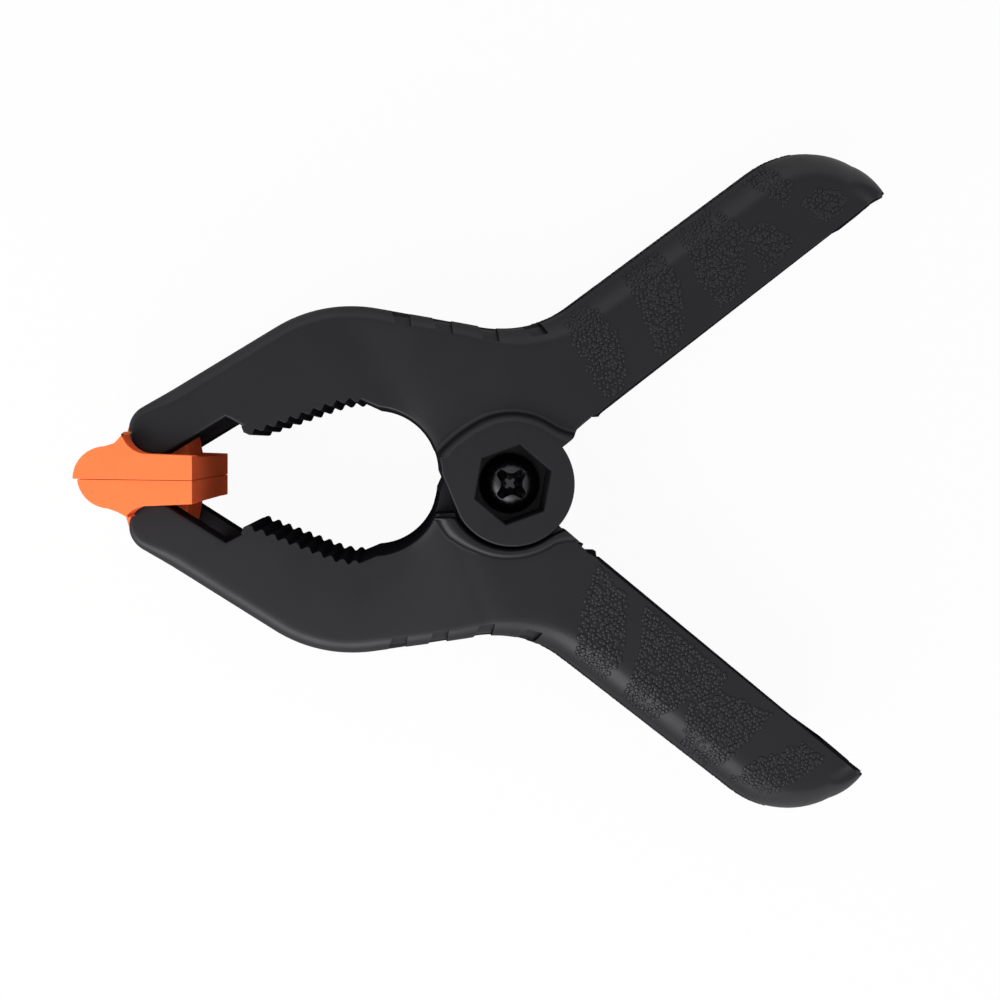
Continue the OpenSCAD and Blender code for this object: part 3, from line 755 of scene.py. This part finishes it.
def makeLever():
    body = sweep("band", leverSections())
    combine(body, makeTeeth(), "UNION")
    for tool in (makeHollow(), makeFork(), makeNotches(), makeLugRoom(), boxOnEdge("legWay", *legWay)):
        combine(body, tool)
    combine(body, plate("lug", lugOutline(), hub["outerLow"], hub["face"], hub["ease"], 3), "UNION")
    combine(body, rollRound("shoulder", hub["shoulderFrom"], hub["runOut"], shoulderProfile), "UNION")
    combine(body, rollRound("rim", hub["rimFrom"], hub["rimTo"], rimProfile), "UNION")
    combine(body, makeInnerLug(), "UNION")
    barEnd = (fork["width"] + 2 * fork["barRoot"]) / 2
    combine(body, atPin(cylinder("bar", fork["bar"], -barEnd, barEnd, 48)), "UNION")
    combine(body, boxOnEdge("rib", *legRib), "UNION")
    combine(body, cylinder("bore", hub["bore"], -through, through, 72))
    combine(body, hexPocket(hub["seat"], hub["hexTurn"]))
    tidyMesh(body)
    return body


# grip pebbles: low round blisters in slanted bands on the flanks and all over the back
pebbles = {"pitch": 0.66, "radius": (0.28, 0.45), "height": 0.1, "seed": 7,
           "from": 17, "low": 0.4, "backTo": 64, "rowShare": 0.87,   # rows' distance over the pitch
           "flankStray": 0.17, "flankShare": 0.95, "backStray": 0.2, "backShare": 0.93,
           "flankAbove": [  # band corners as (along the inner edge, off it)
               [(20.5, 13.5), (25.5, 13.5), (26, 8), (24.5, 3), (21.5, 0.6), (18.5, 1), (19, 6)],
               [(32, 13.5), (38.5, 13.5), (38, 8), (34.5, 2), (32, 0.6), (28.5, 0.6), (30, 5)],
               [(42.5, 13.5), (49, 13.5), (50, 8), (46, 1.8), (43.5, 0.6), (40.5, 1), (40, 6)],
               [(49.5, 7.5), (53.5, 6.5), (55, 2), (52, 0.6), (49, 1)],
               [(55, 13.5), (59.5, 13), (60, 8), (57, 6)],
               [(59, 6), (63, 5.5), (66, 1.5), (63, 0.5), (60, 1)]],
           "flankBelow": [
               [(17.5, 1), (20, 0.6), (24, 1.5), (29.5, 8.5), (30, 13.5), (24, 13.5), (20, 7)],
               [(26.5, 0.6), (43.5, 0.6), (45.5, 5.5), (41.5, 6.5), (40, 13.5), (34, 13.5), (30.5, 5.5)],
               [(42, 8), (43.5, 3.5), (49.5, 1.5), (53, 0.6), (53, 4.5), (52, 13.5), (46, 13.5)],
               [(55, 12.5), (55.5, 8), (59.5, 1), (64, 0.6), (63, 5), (61, 10.5)]]}


def inside(point, corners):
    hit = False
    for k in range(len(corners)):
        (x0, y0), (x1, y1) = corners[k - 1], corners[k]
        if (y0 > point[1]) != (y1 > point[1]) and point[0] < (x1 - x0) * (point[1] - y0) / (y1 - y0) + x0:
            hit = not hit
    return hit


def pebbleSpots(body):
    # places and normals on the lever for every pebble, found by rays from outside
    chance = random.Random(pebbles["seed"])
    pitch, rowPitch = pebbles["pitch"], pebbles["rowShare"]
    spots = []

    def cast(start, aim):
        found, place, normal, index = body.ray_cast(start * mm, aim)
        if found:
            spots.append((place, normal))

    def along(row, column, stray):
        return pebbles["from"] + (column + 0.5 * (row % 2)) * pitch + chance.uniform(-stray, stray)

    for side, bands in ((1, pebbles["flankAbove"]), (-1, pebbles["flankBelow"])):
        stray = pebbles["flankStray"]
        for row in range(24):
            for column in range(76):
                u = along(row, column, stray)
                v = pebbles["low"] + row * pitch * rowPitch + chance.uniform(-stray, stray)
                if any(inside((u, v), band) for band in bands) and chance.random() < pebbles["flankShare"]:
                    p = onEdge(u, v)
                    cast(Vector((p.x, p.y, side * 30)), Vector((0, 0, -side)))
    for row in range(-12, 13):
        for column in range(74):
            u = along(row, column, pebbles["backStray"])
            if u > pebbles["backTo"] or chance.random() > pebbles["backShare"]:
                continue
            # rays that fan round the back from a line inside the handle
            z = row * pitch * rowPitch
            tilt = min(52, max(0, (abs(z) - 6) * 13))
            lean = math.radians(tilt if z > 0 else -tilt)
            if u < endAt:
                foot, out = onHandleBack(u), handleAcross
            else:
                a = 90 + handleAngle - math.degrees((u - endAt) / lever["endRadius"])
                foot, out = onEnd(a), direction(a)
            target = Vector((foot.x, foot.y, z)) - Vector((out.x, out.y, 0)) * (1.5 if lean else 0)
            away = Vector((out.x * math.cos(lean), out.y * math.cos(lean), math.sin(lean)))
            cast(target + away * 12, -away)
    return spots


def makePebbles(body):
    chance = random.Random(pebbles["seed"] + 1)
    deselect()
    bpy.ops.mesh.primitive_uv_sphere_add(segments=8, ring_count=4, radius=1)
    dome = bpy.context.object
    shape = [v.co.copy() for v in dome.data.vertices]
    faces = [list(f.vertices) for f in dome.data.polygons]
    bpy.data.objects.remove(dome)
    verts, polys = [], []
    for place, normal in pebbleSpots(body):
        size = chance.uniform(*pebbles["radius"])
        turn = normal.to_track_quat("Z", "Y").to_matrix() @ Matrix.Rotation(chance.uniform(0, 6.28), 3, "Z")
        stretch = Vector((size * chance.uniform(0.85, 1.2), size, pebbles["height"] * (0.6 + size)))
        base = len(verts)
        for v in shape:
            verts.append(place + turn @ Vector((v.x * stretch.x, v.y * stretch.y, v.z * stretch.z)) * mm)
        polys += [[base + k for k in f] for f in faces]
    mesh = bpy.data.meshes.new("pebbles")
    mesh.from_pydata(verts, [], polys)
    piece = bpy.data.objects.new("pebbles", mesh)
    bpy.context.collection.objects.link(piece)
    print("pebbles:", len(verts) // len(shape))
    return piece


upperLever = makeLever()
upperLever.name = "upperLeverMoulding"
finishShading(upperLever, nylon)
upperPebbles = makePebbles(upperLever)
upperPebbles.name = "upperGripPebbles"
upperPebbles.data.materials.append(nylon)
pick(upperPebbles)
bpy.ops.object.shade_smooth()
lowerLever = copyOf(upperLever, "lowerLeverMoulding", turnOver)
lowerPebbles = copyOf(upperPebbles, "lowerGripPebbles", turnOver)
for moulding, grip, node in ((upperLever, upperPebbles, "upper_lever"),
                             (lowerLever, lowerPebbles, "lower_lever")):
    for piece in (moulding, grip):
        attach(piece, node)
        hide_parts(node)
print("levers made:", len(upperLever.data.polygons), "faces each")


pad = {"width": 27, "gap": 0.05, "plate": 3.25, "back": 6.15, "reach": 9.8, "bore": 1.83,
       "knuckle": 3.2, "room": 4.15, "ease": 0.1, "capFrom": 9.85, "overlap": 0.1,
       # the knuckle's tongue: its width and, off the pin, how it runs down into the plate
       "tongue": 10.1, "tongueTurns": (5, 138),
       "tongueFoot": [(-4.9, 0.1), (-5.6, -2.4), (-5.2, -5), (4.9, -5.6), (3.9, -3.7)],
       "snap": (1.5, 6, 6),   # the mouth that snaps over the bar: half width, depth, half length
       # each moulding's nose (radius, step, fall) and the end caps with their ears
       "upper": {"nose": 4.6, "step": 0.3, "fall": 0, "room": 3.5, "plate": 3.5, "ear": (-2.95, -0.38)},
       "lower": {"nose": 4.4, "step": -0.3, "fall": 0.35, "room": 3.5, "plate": 3.3, "ear": (-2.6, -1.8)}}


def padOutline(shape, room, thick, ear):
    # the pad seen along its pin: nose, scoop round the cheek and flat plate
    base, top = pad["gap"] / 2, pad["gap"] / 2 + thick
    end, r = pin.x + pad["back"], shape["nose"]
    noseCentre = Vector((pin.x - pad["reach"] + r - shape["step"], base - shape["fall"]))
    noseTop = noseCentre.y + r
    start = 180 - math.degrees(math.asin(shape["fall"] / r))
    outline = [onArc(noseCentre, r, mix(start, 94 if ear else 90, k / 15)) for k in range(16)]
    if ear:
        outline += [Vector((pin.x + ear[0] - 1.5, noseTop + 0.45)), pin + Vector(ear)]
        scoopStart = 180 + math.degrees(math.atan2(-ear[1], -ear[0]))
    else:
        scoopStart = 180 - math.degrees(math.asin((noseTop - pin.y) / room))
    scoopEnd = 360 + math.degrees(math.asin(max(-1, (top - pin.y) / room)))
    outline += [onArc(pin, room, mix(scoopStart, scoopEnd, k / 12)) for k in range(1, 13)]
    return outline + [Vector((end, top)), Vector((end, base))]


def easePad(piece, level):
    # rounds the upright corners and, where a level is given, the rim at that height
    def wanted(edge):
        upright = abs(edge.verts[0].co.z - edge.verts[1].co.z) > mm and edge.calc_face_angle(0) > 0.7
        rim = level and all(abs(v.co.z / mm - level) < 0.001 for v in edge.verts)
        return upright or rim
    selectOnly(piece, "EDGE", wanted)
    bpy.ops.mesh.bevel(offset=pad["ease"] * mm, segments=2, affect="EDGES")
    leaveEditing()


def makePad(name, shape):
    half, cap = pad["width"] / 2, pad["capFrom"]
    middle = cap + pad["overlap"]
    body = plate(name, padOutline(shape, pad["room"], pad["plate"], None), -middle, middle)
    easePad(body, None)
    ends = plate("cap", padOutline(shape, shape["room"], shape["plate"], shape["ear"]), cap, half)
    easePad(ends, half)
    otherEnds = copyOf(ends, "otherCap", Matrix.Scale(-1, 4, (0, 0, 1)))
    tidyMesh(otherEnds)
    combine(body, otherEnds, "UNION")
    combine(body, ends, "UNION")
    tongue = [onArc(pin, pad["knuckle"], mix(*pad["tongueTurns"], k / 18)) for k in range(19)]
    tongue += [pin + Vector(corner) for corner in pad["tongueFoot"]]
    combine(body, plate("tongue", tongue, -pad["tongue"] / 2, pad["tongue"] / 2, 0.2, 2, True), "UNION")
    combine(body, atPin(cylinder("bore", pad["bore"], -through, through, 48)))
    aside, deep = pad["snap"][0] * jawAlong, pad["snap"][1] * jawAcross
    snap = [pin + aside, pin + aside + deep, pin - aside + deep, pin - aside]
    combine(body, plate("snap", snap, -pad["snap"][2], pad["snap"][2]))
    tidyMesh(body)
    finishShading(body, orange)
    return body


upperPad = makePad("upperPadMoulding", pad["upper"])
lowerPad = makePad("lowerPadMoulding", pad["lower"])
lowerPad.data.transform(turnOver)
for piece, node in ((upperPad, "upper_pad"), (lowerPad, "lower_pad")):
    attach(piece, node)
    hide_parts(node)
print("pads made")


springSizes = {"wire": 1.9, "coil": 5.15, "turns": 3, "gap": 0.02, "leg": 29}


def makeSpring():
    s = springSizes
    sweepAngle = 180 - 2 * edgeAngle + 360 * s["turns"]
    rise = (s["wire"] + s["gap"]) * sweepAngle / 360
    steps = 140
    coil = []
    for i in range(steps + 1):
        p = onArc((0, 0), s["coil"], 90 + edgeAngle + sweepAngle * i / steps)
        coil.append(Vector((p.x, p.y, rise * (i / steps - 0.5))))
    start = coil[0] + (edgeAlong * s["leg"]).to_3d()
    end = coil[-1] + Vector((edgeAlong.x, -edgeAlong.y, 0)) * s["leg"]
    path = [mix(start, coil[0], k / 6) for k in range(6)] + coil
    path += [mix(coil[-1], end, k / 6) for k in range(1, 7)]
    deselect()
    bpy.ops.curve.primitive_nurbs_path_add()
    wire = bpy.context.object
    wire.name = "torsionSpring"
    wire.data.splines.clear()
    spline = wire.data.splines.new("POLY")
    spline.points.add(len(path) - 1)
    for point, place in zip(spline.points, path):
        point.co = (*(place * mm), 1)
    wire.data.bevel_depth = s["wire"] / 2 * mm
    wire.data.bevel_resolution = 3
    wire.data.use_fill_caps = True
    pick(wire)
    bpy.ops.object.convert(target="MESH")
    wire = bpy.context.object
    tidyMesh(wire)
    finishShading(wire, wireMetal, 40)
    return wire


spring = makeSpring()
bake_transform(spring)
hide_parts("torsion_spring")
print("spring made")


screw = {"seatFit": 0.075, "shank": 3.0, "end": -12.42, "chamfer": 0.5,
         # the dome, as radius and height over the seat
         "dome": [(0, 3.6), (1.0, 3.56), (1.9, 3.42), (2.6, 3.2), (3.05, 2.93), (3.35, 2.6), (3.65, 2.15),
                  (4.0, 1.65), (4.27, 1.2), (4.43, 0.8), (4.5, 0.45), (4.5, 0.18), (4.32, 0)],
         # the cross recess: four wings with hollow shoulders, tapered in two steps of (depth, scale)
         "turn": 47, "wing": 3.0, "wingWidth": 1.45, "wingEnd": 0.93, "rim": 0.14,
         "shoulders": [(24, 2.0), (33, 1.72), (45, 1.65), (57, 1.72), (66, 2.0)],
         "taper": [(1.8, 0.62), (1.1, 0.5)]}


def makeScrew():
    z, shank, end, chamfer = hub["seat"] + screw["seatFit"], screw["shank"], screw["end"], screw["chamfer"]
    profile = [(r, z + h) for r, h in screw["dome"]]
    profile += [(shank, z), (shank, end + chamfer), (shank - chamfer, end), (0, end)]
    body = turned("pivotScrew", profile, 72)
    outline = []
    wing, wingEnd = arcOf((0, 0), screw["wing"]), arcOf((0, 0), screw["wing"] * screw["wingEnd"])
    half = math.degrees(math.atan(screw["wingWidth"] / 2 / screw["wing"]))
    for k in range(4):
        a = screw["turn"] + 90 * k
        outline += [wingEnd(a - half), wing(a - half * 0.45), wing(a + half * 0.45), wingEnd(a + half)]
        outline += [onArc((0, 0), r, a + step) for step, r in screw["shoulders"]]
    cross = plate("cross", outline, z + 3.65, z + 3.75)   # over the dome, then pulled down into it
    selectOnly(cross, "FACE", lambda face: face.normal.z < -0.9)
    for depth, scale in screw["taper"]:
        pull(-depth)
        bpy.ops.transform.resize(value=(scale, scale, 1), center_override=(0, 0, 0))
    leaveEditing()
    tidyMesh(cross)
    combine(body, cross)
    selectOnly(body, "EDGE", lambda edge: all(v.co.z > (z + 2.6) * mm for v in edge.verts)
               and edge.calc_face_angle(0) > 0.7)
    bpy.ops.mesh.bevel(offset=screw["rim"] * mm, segments=2, affect="EDGES", clamp_overlap=True)
    leaveEditing()
    finishShading(body, screwMetal, 35)
    return body


nut = {"flats": 10, "height": 5, "bore": 3.02, "chamfer": 0.5}


def makeNut():
    r, bore, high = nut["flats"] / 2, nut["bore"], -hub["seat"]
    flare, low = bore + nut["chamfer"], high - nut["height"]
    body = cylinder("pivotNut", r / math.cos(math.radians(30)), low, high, 6, -hub["hexTurn"] - 30)
    cone = turned("cone", [(0, high + 0.2), (r + 0.1, high + 0.2), (r + 1.4, high - 0.6),
                           (r + 1.4, low + 0.6), (r - 0.1, low - 0.1), (0, low - 0.1)])
    combine(body, cone, "INTERSECT")
    hole = turned("hole", [(0, high + 1), (flare, high + 1), (flare, high), (bore, high - nut["chamfer"]),
                           (bore, low + nut["chamfer"]), (flare, low), (flare, low - 1), (0, low - 1)])
    combine(body, hole)
    finishShading(body, nutMetal, 25)
    return body


screwPiece = makeScrew()
nutPiece = makeNut()
for piece, node, slot in ((screwPiece, "pivot_screw", "black_oxide_steel"),
                          (nutPiece, "pivot_nut", "zinc_plated_steel")):
    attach(piece, "lower_lever")
    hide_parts(node)
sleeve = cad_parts["pivot_sleeve"]
sleeve.data.materials.clear()
sleeve.data.materials.append(nutMetal)
print("screw, nut and sleeve made")


studio = {
    "floor": "#d6d6d6", "under": -13.52, "glow": 0.95, "sky": 0.6,
    "lamps": [  # place, size and power of each soft box
        ("lowerBox", (-0.20, -0.30, 0.30), (0.5, 0.4), 2.9),
        ("upperBox", (-0.20, 0.50, 0.50), (0.6, 0.4), 0.4)]}


def seenRays(material):
    # 1 for rays that the eye sees straight, in a gloss or through a clear piece
    path = addNode(material, "LightPath")
    seen = addNode(material, "Math", {
        0: path.outputs["Is Camera Ray"], 1: path.outputs["Is Glossy Ray"]}, operation="MAXIMUM")
    return addNode(material, "Math", {
        0: seen.outputs[0], 1: path.outputs["Is Transmission Ray"]}, operation="MAXIMUM").outputs[0]


def makeFloor():
    # white paper: it glows for the eye and takes the clamp's shadow
    deselect()
    bpy.ops.mesh.primitive_plane_add(size=8, location=(0, 0, studio["under"] * mm))
    floor = bpy.context.object
    floor.name = "floor"
    material, shader, place = newMaterial("paper sweep, matt", **{
        "Roughness": 0.9, "Base Color": linear(studio["floor"]), "Specular IOR Level": 0.0})
    glow = addNode(material, "Emission", {"Color": (1, 1, 1, 1), "Strength": 1.0})
    share = addNode(material, "Math", {
        0: seenRays(material), 1: studio["glow"]}, operation="MULTIPLY")
    surface = material.node_tree.nodes["Material Output"].inputs["Surface"]
    addNode(material, "MixShader", {
        0: share.outputs[0], 1: shader.outputs[0], 2: glow.outputs[0]}, {0: surface})
    floor.data.materials.append(material)


makeFloor()
for name, place, size, power in studio["lamps"]:
    deselect()
    bpy.ops.object.light_add(type="AREA", location=place,
                             rotation=(-Vector(place)).to_track_quat("-Z", "Y").to_euler())
    lamp = bpy.context.object
    lamp.name = name
    lamp.data.shape = "RECTANGLE"
    lamp.data.size, lamp.data.size_y = size
    lamp.data.energy = power

world = bpy.data.worlds.new("studio")
bpy.context.scene.world = world
world.use_nodes = True
sky = world.node_tree.nodes["Background"]
addNode(world, "MapRange", {"Value": seenRays(world), "To Min": studio["sky"], "To Max": 1.0},
        {0: sky.inputs["Strength"]})
sky.inputs["Color"].default_value = (1, 1, 1, 1)
bpy.context.scene.view_settings.view_transform = "Standard"
print("studio set")
